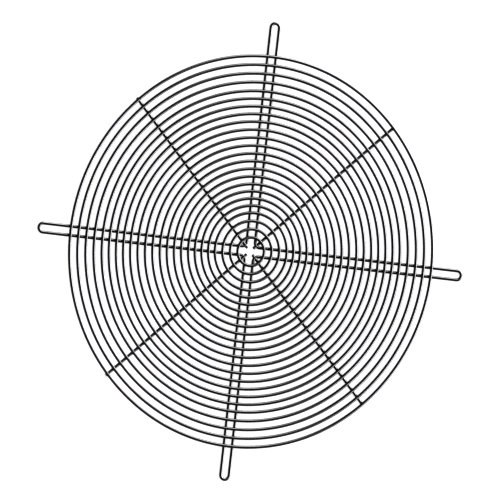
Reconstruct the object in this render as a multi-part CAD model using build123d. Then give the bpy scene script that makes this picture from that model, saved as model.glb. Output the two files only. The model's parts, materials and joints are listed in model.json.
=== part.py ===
from build123d import *
from math import asin, cos, radians, sin, sqrt, tan
import os

# Wire fan guard: flat, welded from round steel wire, lying on its back.
# Sizes are in millimetres. The origin is the guard's centre in the plane it lies on,
# +Z points to the ring side, and the four ears point along +X, +Y, -X and -Y.

# Wire and welds
WIRE_D = 3.0
WELD_SET_DOWN = 0.5  # how deep a ring is pressed into the wires behind it
END_CHAMFER = 0.3  # on the sheared ends of the spokes

# Rings, in six bands of four from the centre outwards, each band with its own spacing
FIRST_RING_R = 14.75
RINGS_IN_A_BAND = 4
BAND_PITCHES = [8.45, 7.45, 7.9, 8.25, 7.95, 9.05]

# Cross wire: one closed wire that forms the double arms
ARMS = 4
SLOT_WIDTH = 6.4  # clear width between the two legs of an arm, for an M6 screw
SLOT_REACH = 30.0  # from the outermost ring's wire centre to the ear's bend centre
CORNER_BEND_R = 5.0  # wire centre line, where one arm turns into the next

# Spokes: single straight wires halfway between the arms
SPOKE_START_R = 4.8  # where a spoke's inner end stands, seen from the guard's centre

# Worked out from the sizes above
HALF_TURN = 180
WIRE_R = WIRE_D / 2
ARM_STEP = 2 * HALF_TURN / ARMS
SPOKE_ANGLE = ARM_STEP / 2
BACK_Z = WIRE_R  # wire centre height of the cross wire and the spokes
RING_Z = BACK_Z + WIRE_D - WELD_SET_DOWN
SEAT_Z = RING_Z - WIRE_R  # height of the floor of each weld seat
SEAT_WIDTH = 2 * sqrt(WIRE_R**2 - (WIRE_R - WELD_SET_DOWN) ** 2)
LEG_OFFSET = (SLOT_WIDTH + WIRE_D) / 2  # arm axis to the wire centre of a leg
CORNER_Y = LEG_OFFSET + CORNER_BEND_R  # centre of the bend between two arms
CORNER_X = CORNER_Y / tan(radians(SPOKE_ANGLE))


def ring_radii():
    """Wire centre radius of every ring, from the innermost to the outermost."""
    radii = [FIRST_RING_R]
    for number in range(1, RINGS_IN_A_BAND * len(BAND_PITCHES)):
        radii.append(radii[-1] + BAND_PITCHES[number // RINGS_IN_A_BAND])
    return radii


def ring(ring_radius):
    """One closed ring of round wire in the front layer."""
    return Pos(0, 0, RING_Z) * Torus(ring_radius, WIRE_R)


def seat(ring_radius, offset):
    """What a ring's weld takes off the top of a wire that runs along +X at this offset."""
    tilt = asin(abs(offset) / ring_radius)
    length = SEAT_WIDTH * (1 + sin(tilt)) / cos(tilt)
    cutter = Box(length, WIRE_D, WIRE_D, align=(Align.CENTER, Align.CENTER, Align.MIN))
    return Pos(ring_radius * cos(tilt), offset, SEAT_Z) * cutter


def straight_wire(start, end, offset):
    """Round wire of the back layer along +X."""
    section = Plane.YZ.offset(start) * Pos(offset, BACK_Z) * Circle(WIRE_R)
    return extrude(section, amount=end - start)


def bent_wire(bend_r, start_angle, turn):
    """Round wire of the back layer, bent about the Z axis."""
    section = Plane.XZ * Pos(bend_r, BACK_Z) * Circle(WIRE_R)
    return Rot(0, 0, start_angle) * revolve(section, Axis.Z, turn)


def corner():
    """The bend near the guard's centre that leads from the arm along +X to the next one."""
    turn = HALF_TURN - ARM_STEP
    return Pos(CORNER_X, CORNER_Y) * bent_wire(CORNER_BEND_R, -HALF_TURN / 2 - turn, turn)


def spoke_bar(radii):
    """A spoke's plain wire along +X, from inside the corner to the outermost ring's edge."""
    bar = straight_wire(SPOKE_START_R, radii[-1] + WIRE_R, 0)
    return chamfer(bar.edges().filter_by(GeomType.CIRCLE), END_CHAMFER)


def arm(radii):
    """The stretch of the cross wire along +X, with the corner to the next arm and its welds."""
    ear_x = radii[-1] + SLOT_REACH
    wire = straight_wire(CORNER_X, ear_x, -LEG_OFFSET).fuse(
        Pos(ear_x, 0) * bent_wire(LEG_OFFSET, -HALF_TURN / 2, HALF_TURN),
        straight_wire(CORNER_X, ear_x, LEG_OFFSET),
        corner(),
    )
    seats = [seat(radius, side * LEG_OFFSET) for radius in radii for side in (-1, 1)]
    crossing_spoke = Rot(0, 0, SPOKE_ANGLE) * spoke_bar(radii)
    return wire - seats - split(crossing_spoke, Plane.XY.offset(BACK_Z), keep=Keep.TOP)


def cross_wire(radii):
    """The closed wire of all the arms."""
    one_arm = arm(radii)
    return one_arm.fuse(*[Rot(0, 0, number * ARM_STEP) * one_arm for number in range(1, ARMS)])


def spoke(radii):
    """A spoke along +X. Where it is mashed across the corner, its upper half is left."""
    seats = [seat(radius, 0) for radius in radii]
    crossed_corner = Rot(0, 0, -SPOKE_ANGLE) * corner()
    return spoke_bar(radii) - seats - split(crossed_corner, Plane.XY.offset(BACK_Z), keep=Keep.BOTTOM)


def write(solid, name):
    """One piece, written as one STEP file."""
    solid.label = name
    export_step(solid, f"parts/{name}.step")


def main():
    os.makedirs("parts", exist_ok=True)
    radii = ring_radii()
    for number, radius in enumerate(radii, start=1):
        write(ring(radius), f"ring_{number:02d}")
    write(cross_wire(radii), "cross_wire")
    one_spoke = spoke(radii)
    for number in range(ARMS):
        write(Rot(0, 0, SPOKE_ANGLE + number * ARM_STEP) * one_spoke, f"spoke_{number + 1}")


main()
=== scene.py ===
import json
from math import ceil, cos, pi, radians, sin, sqrt, tau

import bmesh
import bpy
from mathutils import Matrix, Vector


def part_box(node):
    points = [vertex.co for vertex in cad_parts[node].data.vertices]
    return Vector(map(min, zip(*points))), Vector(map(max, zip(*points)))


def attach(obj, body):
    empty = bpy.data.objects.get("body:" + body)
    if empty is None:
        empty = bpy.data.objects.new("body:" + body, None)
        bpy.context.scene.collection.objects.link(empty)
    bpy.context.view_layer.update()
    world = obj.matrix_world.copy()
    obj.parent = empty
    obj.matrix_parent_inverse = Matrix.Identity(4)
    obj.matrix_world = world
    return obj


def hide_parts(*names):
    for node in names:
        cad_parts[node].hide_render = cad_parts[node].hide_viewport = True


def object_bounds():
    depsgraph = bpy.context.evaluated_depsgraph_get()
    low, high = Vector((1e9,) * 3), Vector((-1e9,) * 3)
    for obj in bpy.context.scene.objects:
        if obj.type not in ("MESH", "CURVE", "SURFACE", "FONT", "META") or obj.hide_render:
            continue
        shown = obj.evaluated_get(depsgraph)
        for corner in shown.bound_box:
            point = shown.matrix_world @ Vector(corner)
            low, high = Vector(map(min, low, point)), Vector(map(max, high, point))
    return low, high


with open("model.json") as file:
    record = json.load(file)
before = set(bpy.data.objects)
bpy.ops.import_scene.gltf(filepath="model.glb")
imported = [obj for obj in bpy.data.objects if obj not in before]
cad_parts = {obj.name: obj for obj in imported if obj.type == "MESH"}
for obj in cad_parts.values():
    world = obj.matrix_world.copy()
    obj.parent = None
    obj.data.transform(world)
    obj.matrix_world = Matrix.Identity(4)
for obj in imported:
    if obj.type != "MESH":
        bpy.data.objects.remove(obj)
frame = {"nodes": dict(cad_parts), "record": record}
cad_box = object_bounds()

# Sizes are in metres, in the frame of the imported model: the guard lies on the plane z = 0,
# its ears point along +X, +Y, -X and -Y, and its rings are on top.
MM = 0.001
UP = Vector((0, 0, 1))
ALONG_X = Vector((1, 0, 0))
ARMS = 4
ARM_STEP = tau / ARMS
SPOKE_ANGLE = ARM_STEP / 2

# The guard's sizes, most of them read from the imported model
rings = sorted(node for node in frame["nodes"] if node.startswith("ring_"))
spokes = sorted(node for node in frame["nodes"] if node.startswith("spoke_"))
ring_boxes = {node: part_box(node) for node in rings}
cross_low, cross_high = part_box("cross_wire")
WIRE_R = (cross_high.z - cross_low.z) / 2
BACK_Z = cross_low.z + WIRE_R
SLOT_WIDTH = 2 * frame["record"]["mounts"][0]["dims"]["hole_r_mm"] * MM
LEG_OFFSET = SLOT_WIDTH / 2 + WIRE_R  # arm axis to the wire centre of a leg
EAR_X = cross_high.x - WIRE_R - LEG_OFFSET  # centre of an ear's bend
CORNER_BEND_R = 5.0 * MM  # bends between two arms, near the centre
CORNER_X = LEG_OFFSET + CORNER_BEND_R
SPOKE_START = 4.8 * MM  # from the guard's centre to a spoke's inner end
SPOKE_CHAMFER = 0.3 * MM

# How finely the wires are drawn
SIDES = 16  # points round a wire
STRAIGHT_STEP = 2.5 * MM
BEND_STEP = 0.7 * MM
SHARP_ANGLE = radians(35)

# Weld metal that fills the corners where a ring crosses a wire behind it
BEAD_SIDES = 16
BEAD_GAP = 0.8 * MM  # gap between the two wires where the bead ends
BEAD_WAIST_GAP = 0.22 * MM  # gap between the two wires at the bead's narrowest line
BEAD_SUNK = 0.08 * MM  # how far the bead's rims stand inside the wires
BEAD_ROW_STEP = 1 * MM  # length of wire that the plating's pattern moves on by, for each row
HALVINGS = 24  # steps in the search for the place where the gap has a given size

# Plating
DARK_TONE = (0.29, 0.29, 0.3, 1)
LIGHT_TONE = (0.37, 0.37, 0.38, 1)
WELD_TONE = (0.25, 0.245, 0.24, 1)
WELD_TONE_SHARE = 0.5  # how much of its own tone a weld takes on
GLANCING_TINT = (0.25, 0.25, 0.26, 1)  # of what the plating mirrors at a glancing angle
TONE_SCALE = 45.0  # spots of tone in a metre
TONE_DETAIL = 3.0
LINES_SCALE = (60, 14, 1)  # drawing lines: spots in a metre of wire, and once round it
LINES_DETAIL = 4.0
LINES_RANGE = (0.3, 0.7)  # part of the lines' pattern over which the roughness changes
ROUGHNESS = (0.08, 0.16)
WELD_ROUGHNESS = 0.12  # added at a weld
WELD_REACH = 4 * MM  # how far along a wire its weld dulls the plating
LINES_BUMP = 0.25
LINES_DEPTH = 0.05 * MM

# Camera, matched to the photograph. The axes are the guard's X and Y as they appear in the
# image, in image pixels for one millimetre, with the image's y axis pointing down.
IMAGE_WIDTH = 494
IMAGE_HEIGHT = 500
X_AXIS_PX = (0.88982, 0.10287)
Y_AXIS_PX = (0.10825, -0.96123)
CENTRE_PX = (250.5, 251.5)
CAMERA_DISTANCE = 3.0

# Studio
FLOOR_SIZE = 12.0
FLOOR_GREY = 0.2  # the part of the floor's white that the wires can shade
FLOOR_GLOW = 0.85
STAGE_ROUGHNESS = 0.9
BACKDROP_R = 5.5
BACKDROP_SEGMENTS = 48
BACKDROP_RINGS = 24
LAMP_SIZE = 2.0
LAMP_HEIGHT = 1.6
LAMP_WATTS = 30.0
DISPLAY_GAMMA = 0.5  # under 1 it darkens the half-tones at the wires' edges, as in the photograph

# Soft lights that the plating mirrors. Each has its azimuth from guard +X towards +Y and its
# elevation, in degrees, then the cosine of the angle from its middle at which it starts and at
# which it would be full, and its strength. The last one is a faint glow from the horizon down.
MIRRORED_LIGHTS = {
    "side": (0.0, 30.5, 0.805, 0.975, 4.5),
    "broad": (51.0, 12.0, 0.54, 1.6, 10.0),
    "low": (0.0, -90.0, -0.55, -0.05, 0.4),
}
DARK_STRENGTH = 0.06  # of all the rest


def ring_radius(node):
    """Wire centre radius of a ring."""
    low, high = ring_boxes[node]
    return (high.x - low.x) / 2 - WIRE_R


def ring_height(node):
    """Wire centre height of a ring."""
    low, high = ring_boxes[node]
    return (high.z + low.z) / 2


def turned(vector, angle):
    """The vector, turned about the guard's axis."""
    return Matrix.Rotation(angle, 3, "Z") @ vector


def crossings(radius):
    """Where a ring crosses the wires behind it, each with that wire's direction."""
    found = []
    for number in range(ARMS):
        for offset, beyond_arm in ((-LEG_OFFSET, 0), (LEG_OFFSET, 0), (0, SPOKE_ANGLE)):
            angle = number * ARM_STEP + beyond_arm
            place = turned(Vector((sqrt(radius**2 - offset**2), offset, 0)), angle)
            found.append((place, turned(ALONG_X, angle)))
    return found


def all_welds():
    """Where any ring crosses a wire behind it."""
    return [place for node in rings for place, _ in crossings(ring_radius(node))]


class Shape:
    """Points and faces of one piece, with what its material reads at each of them."""

    def __init__(self, weld_places):
        self.points = []
        self.faces = []
        self.uvs = []
        self.weld = []
        self.weld_places = weld_places

    def closeness(self, point):
        """1 at a weld, 0 beyond its reach along the wire."""
        flat = Vector((point.x, point.y, 0))
        nearest = min((flat - place).length for place in self.weld_places)
        return max(0.0, 1 - nearest / WELD_REACH)

    def loft(self, rows, stations, wrap=False):
        """Skins rows of points. A wrapped skin closes on its first row, others have two end faces."""
        base = len(self.points)
        count = len(rows[0])
        for row in rows:
            self.points.extend(row)
            middle = sum(row, Vector()) / count
            self.weld.extend([self.closeness(middle)] * count)
        for i in range(len(stations) - 1):
            here = base + i * count
            there = base + (i + 1) % len(rows) * count
            start, end = stations[i], stations[i + 1]
            for k in range(count):
                side = (k + 1) % count
                self.faces.append((here + k, there + k, there + side, here + side))
                low, high = k / count, (k + 1) / count
                self.uvs += [(start, low), (end, low), (end, high), (start, high)]
        if not wrap:
            for first in (base, base + (len(rows) - 1) * count):
                self.faces.append(tuple(range(first, first + count)))
                self.uvs += [(stations[0], k / count) for k in range(count)]

    def mesh(self, name):
        """The Blender mesh of the piece, with its faces pointing outwards."""
        mesh = bpy.data.meshes.new(name)
        mesh.from_pydata(self.points, [], self.faces)
        layer = mesh.uv_layers.new(name="wire")
        layer.data.foreach_set("uv", [value for uv in self.uvs for value in uv])
        mesh.attributes.new("weld", "FLOAT", "POINT").data.foreach_set("value", self.weld)
        made = bmesh.new()
        made.from_mesh(mesh)
        bmesh.ops.recalc_face_normals(made, faces=made.faces)
        made.to_mesh(mesh)
        made.free()
        mesh.shade_smooth()
        mesh.set_sharp_from_angle(angle=SHARP_ANGLE)
        mesh.materials.append(plating)
        return mesh

    def show(self, name, nodes):
        """Puts the piece in the scene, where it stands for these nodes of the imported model."""
        shown = bpy.data.objects.new(name, self.mesh(name))
        bpy.context.scene.collection.objects.link(shown)
        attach(shown, "root")
        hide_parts(*nodes)


def section(place, direction, radius=WIRE_R):
    """Round section of a wire, from its underside round."""
    across = direction.cross(UP)
    angles = [k * tau / SIDES - pi / 2 for k in range(SIDES)]
    return [place + radius * (cos(angle) * across + sin(angle) * UP) for angle in angles]


def straight(start, end):
    """Places along a straight run, without its end."""
    steps = ceil((end - start).length / STRAIGHT_STEP)
    direction = (end - start).normalized()
    return [(start.lerp(end, i / steps), direction) for i in range(steps)]


def bend(centre, radius, start_angle, turn):
    """Places along a bend about a vertical axis, without its end. A negative turn is clockwise."""
    steps = ceil(abs(turn) * radius / BEND_STEP)
    places = []
    for i in range(steps):
        out = turned(ALONG_X, start_angle + turn * i / steps)
        along = turned(out, pi / 2) * (1 if turn > 0 else -1)
        places.append((centre + radius * out, along))
    return places


def stations_of(places, closed):
    """Length along the wire at each place, and for a closed wire back at the first one."""
    lengths = [0.0]
    ends = places[1:] + places[:1] if closed else places[1:]
    for (start, _), (end, _) in zip(places, ends):
        lengths.append(lengths[-1] + (end - start).length)
    return lengths


def facing_heights(reach, ring_z, ring_slope, wire_slope):
    """Heights of the rear wire's top and of the ring's underside, this far out from their weld."""
    under_ring = ring_z - sqrt(max(WIRE_R**2 - (reach * ring_slope) ** 2, 0))
    over_wire = BACK_Z + sqrt(max(WIRE_R**2 - (reach * wire_slope) ** 2, 0))
    return over_wire, under_ring


def reach_of(gap, ring_z, ring_slope, wire_slope):
    """How far out from their weld two wires stand this far apart."""
    low, high = 0.0, 2 * WIRE_R
    for _ in range(HALVINGS):
        middle = (low + high) / 2
        over_wire, under_ring = facing_heights(middle, ring_z, ring_slope, wire_slope)
        if under_ring - over_wire < gap:
            low = middle
        else:
            high = middle
    return low


def bead_profile(ring_z, ring_slope, wire_slope):
    """Reach and height of a bead's edges, from its rim on the rear wire to its rim on the ring."""
    rim = reach_of(BEAD_GAP, ring_z, ring_slope, wire_slope)
    waist = reach_of(BEAD_WAIST_GAP, ring_z, ring_slope, wire_slope)
    between = (rim + waist) / 2
    low_z, high_z = facing_heights(rim, ring_z, ring_slope, wire_slope)
    waist_z = sum(facing_heights(waist, ring_z, ring_slope, wire_slope)) / 2
    return [
        (rim, low_z - BEAD_SUNK),
        (between, (low_z + waist_z) / 2),
        (waist, waist_z),
        (between, (high_z + waist_z) / 2),
        (rim, high_z + BEAD_SUNK),
    ]


def add_bead(shape, place, ring_z, wire_direction):
    """Adds the weld metal between a ring and the wire behind it."""
    ring_direction = place.cross(UP).normalized()
    sides = []
    for k in range(BEAD_SIDES):
        out = turned(ALONG_X, k * tau / BEAD_SIDES)
        ring_slope = abs(out.cross(ring_direction).z)
        wire_slope = abs(out.cross(wire_direction).z)
        profile = bead_profile(ring_z, ring_slope, wire_slope)
        sides.append([place + reach * out + height * UP for reach, height in profile])
    rows = list(zip(*sides))
    shape.loft(rows, [i * BEAD_ROW_STEP for i in range(len(rows))])


def make_ring(node):
    """A ring with the beads that weld it to the wires behind it."""
    radius, height = ring_radius(node), ring_height(node)
    welds = crossings(radius)
    shape = Shape([place for place, _ in welds])
    places = []
    steps = ceil(tau * radius / STRAIGHT_STEP / ARMS) * ARMS
    for i in range(steps):
        out = turned(ALONG_X, i * tau / steps)
        places.append((radius * out + height * UP, turned(out, pi / 2)))
    shape.loft([section(*place) for place in places], stations_of(places, True), wrap=True)
    for place, wire_direction in welds:
        add_bead(shape, place, height, wire_direction)
    shape.show(node + "_wire", [node])


def make_cross_wire():
    """The closed wire of the four arms, with their ears and the bends between them."""
    near, far, leg = CORNER_X, EAR_X, LEG_OFFSET
    one_arm = [
        *straight(Vector((near, -leg, BACK_Z)), Vector((far, -leg, BACK_Z))),
        *bend(Vector((far, 0, BACK_Z)), leg, -pi / 2, pi),
        *straight(Vector((far, leg, BACK_Z)), Vector((near, leg, BACK_Z))),
        *bend(Vector((near, near, BACK_Z)), CORNER_BEND_R, -pi / 2, -pi / 2),
    ]
    places = []
    for number in range(ARMS):
        angle = number * ARM_STEP
        places += [(turned(place, angle), turned(direction, angle)) for place, direction in one_arm]
    shape = Shape(all_welds())
    shape.loft([section(*place) for place in places], stations_of(places, True), wrap=True)
    shape.show("cross_wire_bar", ["cross_wire"])


def make_spoke(number, node):
    """A straight spoke with chamfered ends."""
    direction = turned(ALONG_X, SPOKE_ANGLE + number * ARM_STEP)
    reach = ring_radius(rings[-1]) + WIRE_R
    axis = BACK_Z * UP
    inner, outer = axis + SPOKE_START * direction, axis + reach * direction
    chamfer = SPOKE_CHAMFER * direction
    bar = straight(inner + chamfer, outer - chamfer) + [(outer - chamfer, direction)]
    places = [(inner, direction), *bar, (outer, direction)]
    rows = [section(*place) for place in places]
    rows[0] = section(inner, direction, WIRE_R - SPOKE_CHAMFER)
    rows[-1] = section(outer, direction, WIRE_R - SPOKE_CHAMFER)
    shape = Shape(all_welds())
    shape.loft(rows, stations_of(places, False))
    shape.show(node + "_wire", [node])


def add_noise(tree, place, detail, scale=1.0):
    """Adds a cloudy pattern over these places, and returns it."""
    noise = tree.nodes.new("ShaderNodeTexNoise")
    noise.inputs["Scale"].default_value = scale
    noise.inputs["Detail"].default_value = detail
    tree.links.new(place, noise.inputs["Vector"])
    return noise.outputs["Fac"]


def add_lines(tree):
    """Adds the pattern of the drawing lines along the wire, and returns it."""
    along = tree.nodes.new("ShaderNodeUVMap")
    along.uv_map = "wire"
    stretch = tree.nodes.new("ShaderNodeMapping")
    stretch.inputs["Scale"].default_value = LINES_SCALE
    tree.links.new(along.outputs["UV"], stretch.inputs["Vector"])
    return add_noise(tree, stretch.outputs["Vector"], LINES_DETAIL)


def add_tone(tree, weld):
    """Adds the plating's uneven tone, which is dull near a weld, and returns it."""
    place = tree.nodes.new("ShaderNodeTexCoord")
    tone = tree.nodes.new("ShaderNodeMix")
    tone.data_type = "RGBA"
    tone.inputs["A"].default_value = DARK_TONE
    tone.inputs["B"].default_value = LIGHT_TONE
    clouds = add_noise(tree, place.outputs["Object"], TONE_DETAIL, TONE_SCALE)
    tree.links.new(clouds, tone.inputs["Factor"])

    weld_share = tree.nodes.new("ShaderNodeMath")
    weld_share.operation = "MULTIPLY"
    weld_share.inputs[1].default_value = WELD_TONE_SHARE
    tree.links.new(weld, weld_share.inputs[0])
    dulled = tree.nodes.new("ShaderNodeMix")
    dulled.data_type = "RGBA"
    dulled.inputs["B"].default_value = WELD_TONE
    tree.links.new(tone.outputs["Result"], dulled.inputs["A"])
    tree.links.new(weld_share.outputs["Value"], dulled.inputs["Factor"])
    return dulled.outputs["Result"]


def add_roughness(tree, lines, weld):
    """Adds a roughness that varies with the drawing lines and rises near a weld, and returns it."""
    shine = tree.nodes.new("ShaderNodeMapRange")
    shine.inputs["From Min"].default_value, shine.inputs["From Max"].default_value = LINES_RANGE
    shine.inputs["To Min"].default_value, shine.inputs["To Max"].default_value = ROUGHNESS
    tree.links.new(lines, shine.inputs["Value"])
    rough = tree.nodes.new("ShaderNodeMath")
    rough.operation = "MULTIPLY_ADD"
    rough.inputs[1].default_value = WELD_ROUGHNESS
    tree.links.new(weld, rough.inputs[0])
    tree.links.new(shine.outputs["Result"], rough.inputs[2])
    return rough.outputs["Value"]


def add_bump(tree, lines):
    """Adds the relief of the drawing lines, and returns it."""
    bump = tree.nodes.new("ShaderNodeBump")
    bump.inputs["Strength"].default_value = LINES_BUMP
    bump.inputs["Distance"].default_value = LINES_DEPTH
    tree.links.new(lines, bump.inputs["Height"])
    return bump.outputs["Normal"]


def plated_wire():
    """Bright plated steel wire: drawing lines along it, uneven shine, duller at the welds."""
    material = bpy.data.materials.new("plated_wire")
    material.use_nodes = True
    tree = material.node_tree
    lines = add_lines(tree)
    weld = tree.nodes.new("ShaderNodeAttribute")
    weld.attribute_name = "weld"
    closeness = weld.outputs["Fac"]
    shader = tree.nodes["Principled BSDF"]
    shader.inputs["Metallic"].default_value = 1.0
    shader.inputs["Specular Tint"].default_value = GLANCING_TINT
    tree.links.new(add_tone(tree, closeness), shader.inputs["Base Color"])
    tree.links.new(add_roughness(tree, lines, closeness), shader.inputs["Roughness"])
    tree.links.new(add_bump(tree, lines), shader.inputs["Normal"])
    return material


def stage_material(name, grey, glow):
    """Matt white for the studio. Its grey takes the lamp's light, and its glow is its own."""
    material = bpy.data.materials.new(name)
    material.use_nodes = True
    shader = material.node_tree.nodes["Principled BSDF"]
    shader.inputs["Base Color"].default_value = (grey, grey, grey, 1)
    shader.inputs["Roughness"].default_value = STAGE_ROUGHNESS
    shader.inputs["Specular IOR Level"].default_value = 0.0
    shader.inputs["Emission Color"].default_value = (1, 1, 1, 1)
    shader.inputs["Emission Strength"].default_value = glow
    return material


def stage_object(name, made, material):
    """An object of the studio from a bmesh."""
    mesh = bpy.data.meshes.new(name)
    made.to_mesh(mesh)
    made.free()
    mesh.materials.append(material)
    shown = bpy.data.objects.new(name, mesh)
    bpy.context.scene.collection.objects.link(shown)
    return shown


def make_floor():
    """A white floor under the guard, which the plating doesn't mirror."""
    made = bmesh.new()
    bmesh.ops.create_grid(made, x_segments=1, y_segments=1, size=FLOOR_SIZE / 2)
    floor = stage_object("floor", made, stage_material("floor", FLOOR_GREY, FLOOR_GLOW))
    floor.visible_glossy = False


def make_backdrop():
    """A white backdrop all round, which only the camera sees."""
    made = bmesh.new()
    bmesh.ops.create_uvsphere(
        made, u_segments=BACKDROP_SEGMENTS, v_segments=BACKDROP_RINGS, radius=BACKDROP_R
    )
    backdrop = stage_object("backdrop", made, stage_material("backdrop", 0.0, 1.0))
    backdrop.visible_diffuse = False
    backdrop.visible_glossy = False
    backdrop.visible_transmission = False
    backdrop.visible_volume_scatter = False
    backdrop.visible_shadow = False


def pointing(azimuth, elevation):
    """Unit vector with this azimuth from guard +X towards +Y and this elevation, in degrees."""
    return turned(Vector((cos(radians(elevation)), 0, sin(radians(elevation)))), radians(azimuth))


def add_mirrored_light(tree, so_far, azimuth, elevation, starts, full, strength):
    """Adds one soft light to the brightness of the surroundings so far, and returns the sum."""
    direction = tree.nodes.new("ShaderNodeTexCoord")
    nearness = tree.nodes.new("ShaderNodeVectorMath")
    nearness.operation = "DOT_PRODUCT"
    nearness.inputs[1].default_value = pointing(azimuth, elevation)
    light = tree.nodes.new("ShaderNodeMapRange")
    light.interpolation_type = "SMOOTHSTEP"
    light.inputs["From Min"].default_value = starts
    light.inputs["From Max"].default_value = full
    light.inputs["To Max"].default_value = strength
    total = tree.nodes.new("ShaderNodeMath")
    total.operation = "ADD"
    tree.links.new(direction.outputs["Generated"], nearness.inputs[0])
    tree.links.new(nearness.outputs["Value"], light.inputs["Value"])
    tree.links.new(light.outputs["Result"], total.inputs[0])
    if so_far:
        tree.links.new(so_far, total.inputs[1])
    else:
        total.inputs[1].default_value = DARK_STRENGTH
    return total.outputs["Value"]


def make_world():
    """Surroundings that the plating mirrors: soft lights on one side, and dark elsewhere."""
    world = bpy.data.worlds.new("studio")
    bpy.context.scene.world = world
    world.use_nodes = True
    brightness = None
    for light in MIRRORED_LIGHTS.values():
        brightness = add_mirrored_light(world.node_tree, brightness, *light)
    background = world.node_tree.nodes["Background"]
    background.inputs["Color"].default_value = (1, 1, 1, 1)
    world.node_tree.links.new(brightness, background.inputs["Strength"])


def make_lamp():
    """One large soft lamp over the guard, which lights the floor and not the plating."""
    data = bpy.data.lights.new("overhead", "AREA")
    data.shape = "SQUARE"
    data.size = LAMP_SIZE
    data.energy = LAMP_WATTS
    lamp = bpy.data.objects.new("overhead", data)
    lamp.location = LAMP_HEIGHT * UP
    lamp.visible_glossy = False
    lamp.visible_camera = False
    bpy.context.scene.collection.objects.link(lamp)


def camera_axes():
    """The camera's own right, up and back, and the pixels for one millimetre seen squarely."""
    (xx, xy), (yx, yy) = X_AXIS_PX, Y_AXIS_PX
    grow = xx**2 + xy**2 + yx**2 + yy**2
    area = xx * yy - xy * yx
    scale = sqrt((grow + sqrt(grow**2 - 4 * area**2)) / 2)
    right = Vector((xx, yx, 0)) / scale
    up = Vector((-xy, -yy, 0)) / scale
    right.z = sqrt(max(1 - right.length_squared, 0))
    up.z = -right.to_2d().dot(up.to_2d()) / right.z
    return right, up, right.cross(up), scale


def make_camera():
    """Orthographic camera that shows the guard's axes as the photograph does."""
    right, up, back, scale = camera_axes()
    data = bpy.data.cameras.new("camera")
    data.type = "ORTHO"
    data.ortho_scale = IMAGE_HEIGHT / scale * MM
    camera = bpy.data.objects.new("camera", data)
    aim = Vector((0, 0, cad_box[1].z / 2))
    off_right = (CENTRE_PX[0] - IMAGE_WIDTH / 2) / scale * MM
    off_down = (CENTRE_PX[1] - IMAGE_HEIGHT / 2) / scale * MM
    place = aim - off_right * right + off_down * up + CAMERA_DISTANCE * back
    camera.matrix_world = Matrix.Translation(place) @ Matrix((right, up, back)).transposed().to_4x4()
    bpy.context.scene.collection.objects.link(camera)
    bpy.context.scene.camera = camera


plating = plated_wire()
for node in rings:
    make_ring(node)
make_cross_wire()
for number, node in enumerate(spokes):
    make_spoke(number, node)
make_floor()
make_backdrop()
make_world()
make_lamp()
make_camera()
display = bpy.context.scene.view_settings
display.view_transform = "Standard"
display.gamma = DISPLAY_GAMMA
